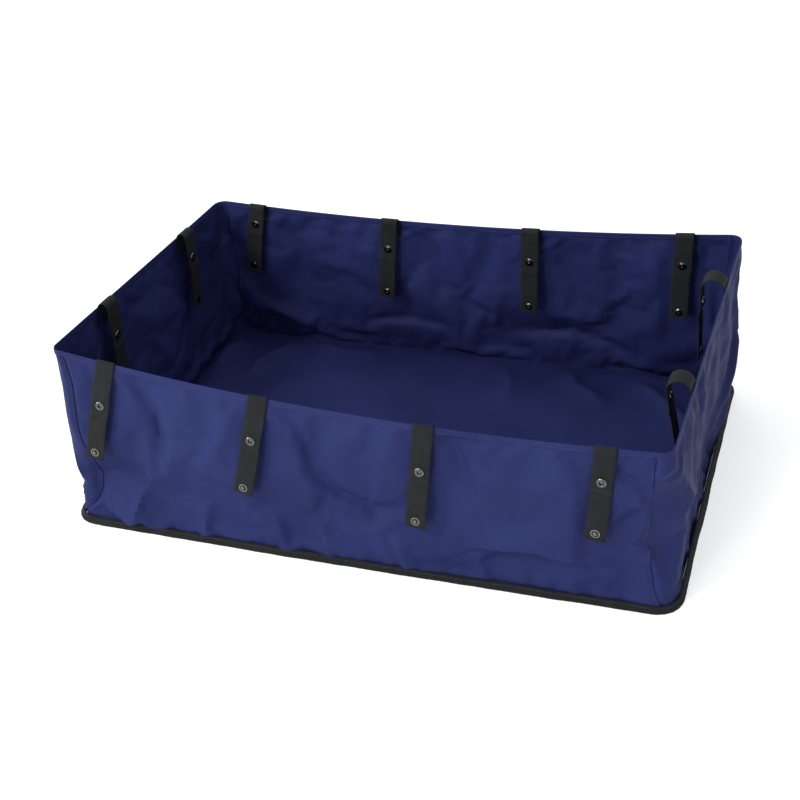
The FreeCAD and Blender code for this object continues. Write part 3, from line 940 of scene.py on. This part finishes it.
# the hem's section, once round from its lower outer edge: how far it is below the rim, how far out from
# the middle of the wall, whether the stitches pucker it, and how far it is lifted over the rim
HEM_SECTION = (
    (HEM_DEPTH, CLOTH * 0.3, 0, 0),
    (HEM_DEPTH - 0.3 * MM, HEM_OUTER * 0.85, 0, 0),
    (HEM_STITCH_DEPTH, HEM_OUTER * 0.80, 1, 0),
    (HEM_STITCH_DEPTH * 0.5, HEM_OUTER, 1, 0),
    (0.6 * MM, HEM_OUTER, 0, 0),
    (0, HEM_OUTER * 0.72, 0, 0.42 * MM),
    (0, 0, 0, 0.62 * MM),
    (0, -HEM_INNER * 0.72, 0, 0.42 * MM),
    (0.6 * MM, -HEM_INNER, 0, 0),
    (HEM_STITCH_DEPTH * 0.5, -HEM_INNER, 0, 0),
    (HEM_STITCH_DEPTH, -HEM_INNER * 0.80, 1, 0),
    (HEM_DEPTH - 0.3 * MM, -HEM_INNER * 0.85, 0, 0),
    (HEM_DEPTH, -CLOTH * 0.3, 0, 0),
)
# how far down the cloth each of those is, for its weave, with the inner face's below zero
HEM_RUNS = np.array([8, 7.7, 5.5, 2.8, 0.6, 0, -0.6, -1.2, -1.8, -4, -6.7, -8.9, -9.2]) * MM
HEM_PUCKER = 0.12 * MM


def hem():
    """The folded hem: a doubled edge of cloth that laps both faces of the walls."""
    numbers = np.arange(len(reaches) - 1.0)
    puckers = HEM_PUCKER * np.sin(reaches[:-1] / STITCH_PITCH * math.pi)
    section = []
    for depth, out, puckered, raised in HEM_SECTION:
        row = (1 - depth / column_tall[:-1]) * (ROWS - 1)
        ways = unit(between(normals, row, numbers))
        place = between(ring, row, numbers) + ways * (out + puckers * puckered)[:, None]
        section.append(place + np.array([0, 0, raised]))
    uvs = lattice(HEM_RUNS, reaches[:-1])[..., ::-1]  # along the rim first, as on the walls
    return swept("rim_hem", np.stack(section, 1), uvs, closed_way=True, sharp=60)


finished(hem(), FABRIC_FINISH)


def strap_gap(side, along):
    """Whether a place along the rim is under a strap, where the hem's thread doesn't show."""
    near = np.zeros(len(along), bool)
    for strap_side, place in strap_places:
        if strap_side == side:
            near |= np.abs(along - place) < WEBBING_WIDTH / 2 + 1 * MM
    return near


THREAD_PLACES = 400  # along each wall
SHORTEST_RUN = 4  # of those places, too few for a stitch


def hem_stitching():
    """Two rows of thread round the rim, one on each face of the hem."""
    parts = []
    for side in SIDES:
        first, last = PANEL_COLUMNS[side]
        along = ring[-1, first : last + 1, AXIS[side]]
        fine = np.linspace(along[0], along[-1], THREAD_PLACES)
        for out, way in ((HEM_OUTER * 0.85, 1), (-HEM_INNER * 0.85, -1)):
            points, ways = on_wall(side, fine, HEM_STITCH_DEPTH, out)
            hidden = strap_gap(side, fine) & (way < 0 or side in OUTSIDE)
            starts = np.flatnonzero(np.diff(np.concatenate([[1], hidden.astype(int), [1]])))
            for a, b in zip(starts[::2], starts[1::2]):
                if b - a > SHORTEST_RUN:
                    parts.append(stitches(points[a:b], ways[a:b] * way))
    return joined("rim_hem_stitches", parts)


finished(hem_stitching(), NAVY_THREAD)


def column_number(reach):
    """The fractional column at a distance round the rim."""
    wrapped = reaches[0] + np.mod(reach - reaches[0], RIM_ROUND)
    return np.interp(wrapped, reaches, np.arange(len(reaches)))


# the lap's section across the seam: how far to the side of the join, and how far it stands out
LAP_OFFSETS = np.array([-SEAM_WIDTH, -SEAM_WIDTH + 0.4 * MM, -SEAM_WIDTH / 2, -0.3 * MM, 0.0, 0.0])
LAP_LIFTS = np.array([0.2, 0.75, 0.85, 1.05, 0.75, 0.1]) * MM
LAP_SINK = 0.2 * MM


def seam_welt(name, reach):
    """A corner seam: a narrow lap of cloth beside the join, with its edge standing proud."""
    rows = np.linspace(0.6, ROWS - 3.0, 90)
    row, number = np.meshgrid(rows, column_number(reach + LAP_OFFSETS), indexing="ij")
    out = CLOTH / 2 + LAP_LIFTS - LAP_SINK
    rings = between(ring, row, number) + unit(between(normals, row, number)) * out[None, :, None]
    return swept(name, rings, lattice(LAP_OFFSETS - LAP_OFFSETS[0], rows / ROWS * RIM_HEIGHT), sharp=35)


def seam_stitching(name, reach):
    """Thread along the lap, on both faces of the cloth."""
    rows = np.linspace(1.5, ROWS - 4.0, 120)
    numbers = np.full_like(rows, column_number(reach - SEAM_WIDTH * 0.35))
    places = between(ring, rows, numbers)
    ways = unit(between(normals, rows, numbers))
    outs = (CLOTH / 2 + 0.75 * MM, -CLOTH / 2)
    return joined(name, [stitches(places + ways * out, ways * np.sign(out)) for out in outs])


# cuts holds the seams in this order, and each lap lies on the panel before its seam
for corner, cut in zip(("front_left", "front_right", "back_right", "back_left"), cuts):
    finished(seam_welt(f"seam_{corner}", reaches[cut]), FABRIC_FINISH)
    finished(seam_stitching(f"seam_{corner}_stitches", reaches[cut]), NAVY_THREAD)


# the tape's section, once round from its upper inner edge, in millimetres: out from the foot, and up
TAPE_SECTION = (
    (1.0, 9.0),
    (2.4, 9.4),
    (3.9, 8.2),
    (5.6, 6.0),
    (7.2, 3.6),
    (8.0, 2.0),
    (7.6, 0.7),
    (6.6, 0.1),
    (3.0, 0.05),
    (0.8, 0.1),
    (0.8, 4.0),
)
TAPE_PLACES = 620
TAPE_LOWEST = 0.02 * MM


def binding():
    """Tape folded over the bottom seam, all the way round, a little uneven as sewn by hand, and the
    points and faces of its thread."""
    q = q_at(np.linspace(0, RIM_ROUND, TAPE_PLACES, endpoint=False))
    foot = outline(FOOT, q)
    ahead = np.roll(foot, -1, 0) - np.roll(foot, 1, 0)
    out = unit(np.stack([ahead[:, 1], -ahead[:, 0]], -1))
    spot = np.concatenate([foot, np.zeros((len(foot), 1))], 1)
    wander = 0.35 * MM * ripples(spot, 0.05, 21) + 0.2 * MM * ripples(spot, 0.015, 22)
    heave = 0.5 * MM * ripples(spot, 0.06, 23)
    puckers = 0.12 * MM * np.sin(np.arange(len(foot)) * 2.2)
    rings = []
    for away, height in TAPE_SECTION:
        reach = away * MM + FABRIC / 2 + (wander + puckers) * (away * MM / BINDING_WIDTH)
        level = height * MM + (heave + puckers) * (height * MM / BINDING_HEIGHT)
        level = np.maximum(level, TAPE_LOWEST)
        rings.append(np.concatenate([foot + out * reach[:, None], level[:, None]], 1))
    rings = np.stack(rings, 1)
    uvs = lattice(lengths_along(np.array(TAPE_SECTION)) * MM, lengths_along(foot))
    tape = swept("binding_tape", rings, uvs, closed_way=True, sharp=50)
    line = rings[:, 2] * 0.6 + rings[:, 3] * 0.4
    up = np.concatenate([out * 0.75, np.full((len(out), 1), 0.66)], 1)
    closed, closed_up = (np.concatenate([places, places[:1]]) for places in (line, up))
    return tape, stitches(closed, closed_up, 3.6 * MM, 2.6 * MM)


tape, tape_thread = binding()
finished(tape, TAPE_FINISH)
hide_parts("bottom_binding")
finished(joined("binding_stitches", [tape_thread]), BLACK_THREAD)


# ---------------------------------------------------------------- the straps


def strap_frame(name, side):
    """The strap's frame, worked out from its two joints: the middle of its turn at the rim, and the
    directions across the rim end, across the leg, away from the root, and up the leg. The last value is
    how far down the leg its crease is."""
    swing, fold = joints[name + "_swing"], joints[name + "_fold"]
    facing = 1 if side in OUTSIDE else -1
    centre = np.array(swing["pos_m"], float)
    rim_across = unit(np.array(swing["axis"], float))
    leg_across = unit(np.array(fold["axis"], float)) * facing
    away = BEND[side] + facing * FOLD_OFFSET
    way = np.array(fold["pos_m"], float) - centre
    span = np.linalg.norm(way)
    down = math.sqrt(span**2 - away**2)
    e1 = way / span
    e2 = np.cross(leg_across, e1)
    y = unit(away * e1 + down * e2)
    z = unit(away * e2 - down * e1)
    return centre, rim_across, leg_across, y, z, down


def ribbon_section(around=9):
    """The webbing's section, once round: shares of its half width and of its half thickness."""
    across = np.linspace(-1, 1, around) * (1 - 0.5 * MM / (WEBBING_WIDTH / 2))
    top = [(a, 1.0) for a in across]
    bottom = [(a, -1.0) for a in across[::-1]]
    return np.array(top + [(1.0, 0.45), (1.0, -0.45)] + bottom + [(-1.0, -0.45), (-1.0, 0.45)])


SECTION_ACROSS, SECTION_OUT = ribbon_section().T * [[WEBBING_WIDTH / 2], [WEBBING / 2]]


def ribbon(name, middles, across, faces, runs):
    """A length of webbing through middles. across and faces are unit directions at each."""
    beside = across[:, None] * SECTION_ACROSS[:, None]
    rings = middles[:, None] + beside + faces[:, None] * SECTION_OUT[:, None]
    return swept(name, rings, lattice(SECTION_ACROSS, runs))


# the straps of each side, with the small unevenness of each hanging leg, in millimetres: how far the
# webbing kinks at the mark that its snapping has pressed into it, how far its end curls, and how much it
# bows across to one side
STRAPS = {
    "front": ((-1.68, 0.8, 1.0), (-1.96, -0.6, -0.6), (-1.12, 0.5, 0.4), (-2.52, 1.0, -0.5)),
    "back": ((2.24, 1.2, 0.6), (1.4, -0.6, 0.4), (1.54, 0.6, -0.5), (1.12, 0.5, 0.5)),
    "left": ((1.4, 0.8, 0.6), (1.68, -0.8, -0.8)),
    "right": ((1.4, 0.8, 0.5), (1.96, 0.6, -0.6)),
}
LEG_STEP = 1.6 * MM
KINK_DROP = 0.017  # from the upper stud down to the kink
KINK_SOFTNESS = 0.005
STUD_HOLD = 0.010  # how far from a stud the webbing keeps flat
TWIST_LENGTH = 0.018  # how far down the leg it has turned from the rim's slope to its own


def make_leg(name, side, uneven, centre, rim_across, leg_across, y, z, crease_down):
    """The hanging leg, one piece of webbing that creases between its studs when it folds."""
    bend = BEND[side]
    upper_snap = crease_down - SNAP_REACH
    lower_snap = crease_down + SNAP_REACH
    end = crease_down + STRAP_REACH - CREASE_REACH
    kink, curl, bow = uneven
    downs = np.linspace(0, end, int(end / LEG_STEP))
    free = smoothstep(0, 0.012, downs)
    for snap in (upper_snap, lower_snap):
        free *= 1 - np.exp(-(((downs - snap) / STUD_HOLD) ** 4))
    shape = kink * MM * np.exp(-np.abs(downs - upper_snap - KINK_DROP) / KINK_SOFTNESS)
    shape += 0.5 * MM * np.sin(downs / 0.030 + len(name) + ord(name[-1]))
    shape += curl * MM * smoothstep(lower_snap, end, downs) ** 2
    ahead = y[None] * (bend + shape * free)[:, None]
    sideways = leg_across[None] * (bow * MM * np.sin(math.pi * downs / end) * free)[:, None]
    middles = centre + ahead + sideways - z[None] * downs[:, None]
    turn = smoothstep(0, TWIST_LENGTH, downs)[:, None]
    across = unit(rim_across * (1 - turn) + leg_across * turn)
    way = unit(np.gradient(middles, axis=0))
    faces = unit(np.cross(across, -way))
    runs = downs + math.pi * bend
    leg = ribbon(f"{name}_webbing", middles, across, faces, runs)
    finished(leg, WEBBING_FINISH, body=None)
    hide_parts(name + "_upper", name + "_lower")
    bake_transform(leg)


def make_turn(name, side, centre, rim_across, y):
    """The webbing's half turn over the rim."""
    bend = BEND[side]
    angles = np.linspace(0, math.pi, 30)
    up = unit(np.cross(rim_across, y))
    out = -y[None] * np.cos(angles)[:, None] + up[None] * np.sin(angles)[:, None]
    middles = centre + out * bend
    across = np.tile(rim_across, (len(angles), 1))
    turn = ribbon(f"{name}_turn", middles, across, out, angles * bend)
    finished(turn, WEBBING_FINISH, body=None)
    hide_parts("strap_bends")
    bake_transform(turn)


ROOT_INSIDE = CLOTH / 2 + WEBBING / 2 + 0.45 * MM  # from the wall's middle in to the root's middle
ROOT_EASE = 0.010  # how far down the root it has come off its turn and lies on the wall
BOX_EDGE = 3 * MM
BOX_TOP = 6 * MM


def make_root(name, side, centre, rim_across, y):
    """The webbing's sewn end, flat on the inside of the wall."""
    place = centre[AXIS[side]]
    along = place + np.sign(rim_across[AXIS[side]]) * SECTION_ACROSS

    def laid(depth):
        points, ways = on_wall(side, along, depth, 0.0)
        return points - ways * (ROOT_INSIDE + SECTION_OUT)[:, None]

    started = centre - y * BEND[side] + rim_across * SECTION_ACROSS[:, None] - y * SECTION_OUT[:, None]
    shift = started - laid(0.0)
    depths = np.linspace(0, ROOT_LENGTH, 16)
    rings = np.array([laid(depth) + shift * smoothstep(ROOT_EASE, 0.0, depth) for depth in depths])
    root = swept(f"{name}_root", rings, lattice(SECTION_ACROSS, -depths))
    finished(root, WEBBING_FINISH)
    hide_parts("strap_anchors")


def root_stitching(name, side, place):
    """The box and cross of thread that hold the root, seen on both sides of the wall."""
    half = WEBBING_WIDTH / 2 - BOX_EDGE
    low = ROOT_LENGTH - BOX_EDGE
    corners = [(-half, BOX_TOP), (half, BOX_TOP), (half, low), (-half, low)]
    lines = [(corners[k], corners[(k + 1) % 4]) for k in range(4)]
    lines += [(corners[0], corners[2]), (corners[1], corners[3])]
    parts = []
    for start, end in lines:
        across, down = np.linspace(start, end, 12).T
        for out, way in ((-ROOT_INSIDE - WEBBING / 2, -1), (CLOTH / 2 + 0.05 * MM, 1)):
            points, ways = on_wall(side, place + across, down, out)
            parts.append(stitches(points, ways * way, 3.2 * MM, 2.4 * MM))
    finished(joined(f"{name}_stitching", parts), BLACK_THREAD)


for side, shapes in STRAPS.items():
    for number, uneven in enumerate(shapes, 1):
        name = f"{side}_strap_{number}"
        centre, rim_across, leg_across, y, z, crease_down = strap_frame(name, side)
        make_leg(name, side, uneven, centre, rim_across, leg_across, y, z, crease_down)
        make_turn(name, side, centre, rim_across, y)
        make_root(name, side, centre, rim_across, y)
        root_stitching(name, side, centre[AXIS[side]])
        for end in ("_upper_snap", "_lower_snap"):
            node = frame["nodes"][name + end]
            node.data.materials.clear()
            node.data.materials.append(SNAP_FINISH)


# ---------------------------------------------------------------- floor, light and camera


def stage_floor():
    """A plain pale ground, wide enough for every view."""
    mesh = bpy.data.meshes.new("studio_floor")
    half = 12.0
    corners = [(-half, -half, 0), (half, -half, 0), (half, half, 0), (-half, half, 0)]
    mesh.from_pydata(corners, [], [(0, 1, 2, 3)])
    ground = bpy.data.objects.new("studio_floor", mesh)
    bpy.context.scene.collection.objects.link(ground)
    s = Shader("pale_paper")
    s.finish(
        Base_Color=colour(0.56, 0.56, 0.56),
        Roughness=0.9,
        Specular_IOR_Level=0.1,
        Emission_Color=colour(1.0, 1.0, 1.0),
        Emission_Strength=0.50,
    )
    mesh.materials.append(s.material)


def area_light(name, place, aim, size, power):
    """A round lamp of that size at place, turned to aim."""
    data = bpy.data.lights.new(name, "AREA")
    data.shape = "DISK"
    data.size = size
    data.energy = power
    lamp = bpy.data.objects.new(name, data)
    lamp.location = place
    lamp.rotation_mode = "QUATERNION"
    lamp.rotation_quaternion = (Vector(aim) - Vector(place)).to_track_quat("-Z", "Y")
    bpy.context.scene.collection.objects.link(lamp)


stage_floor()
area_light("key_light", (-1.6, -5.8, 1.85), (0, 0, 0.15), 1.8, 185)
area_light("high_light", (-1.5, -1.9, 2.3), (0, 0, 0.1), 0.7, 50)
area_light("side_light", (-2.5, -0.5, 1.2), (0, 0, 0.1), 0.9, 24)
area_light("top_light", (-0.3, 0.9, 3.0), (0, 0, 0.1), 1.2, 16)

world = bpy.data.worlds.new("studio")
world.use_nodes = True
world.node_tree.nodes["Background"].inputs["Color"].default_value = (0.95, 0.97, 1.0, 1)
world.node_tree.nodes["Background"].inputs["Strength"].default_value = 0.98
bpy.context.scene.world = world
bpy.context.scene.view_settings.view_transform = "Standard"

CAMERA_YAW = 23.8
CAMERA_PITCH = 34.3
CAMERA_ROLL = -5.8
CAMERA_DISTANCE = 1.909
CAMERA_ASIDE = -0.028  # how far the view's middle is from the bag's origin, across the view and up it
CAMERA_ABOVE = 0.068
CAMERA_LENS = 62.0
CAMERA_SENSOR = 36.0


def make_camera():
    """The photo's camera, from the angles and distance fitted to it."""
    yaw, pitch, roll = (math.radians(a) for a in (CAMERA_YAW, CAMERA_PITCH, CAMERA_ROLL))
    back = Vector((math.sin(yaw) * math.cos(pitch), -math.cos(yaw) * math.cos(pitch), math.sin(pitch)))
    level = (-back).cross(Vector((0, 0, 1))).normalized()
    upright = level.cross(-back)
    right = level * math.cos(roll) + upright * math.sin(roll)
    up = upright * math.cos(roll) - level * math.sin(roll)
    data = bpy.data.cameras.new("camera")
    data.lens = CAMERA_LENS
    data.sensor_width = CAMERA_SENSOR
    data.clip_start, data.clip_end = 0.05, 50.0
    camera = bpy.data.objects.new("camera", data)
    place = right * CAMERA_ASIDE + up * CAMERA_ABOVE + back * CAMERA_DISTANCE
    turned = Matrix((right, up, back)).transposed().to_4x4()
    camera.matrix_world = Matrix.Translation(place) @ turned
    bpy.context.scene.collection.objects.link(camera)
    bpy.context.scene.camera = camera


make_camera()
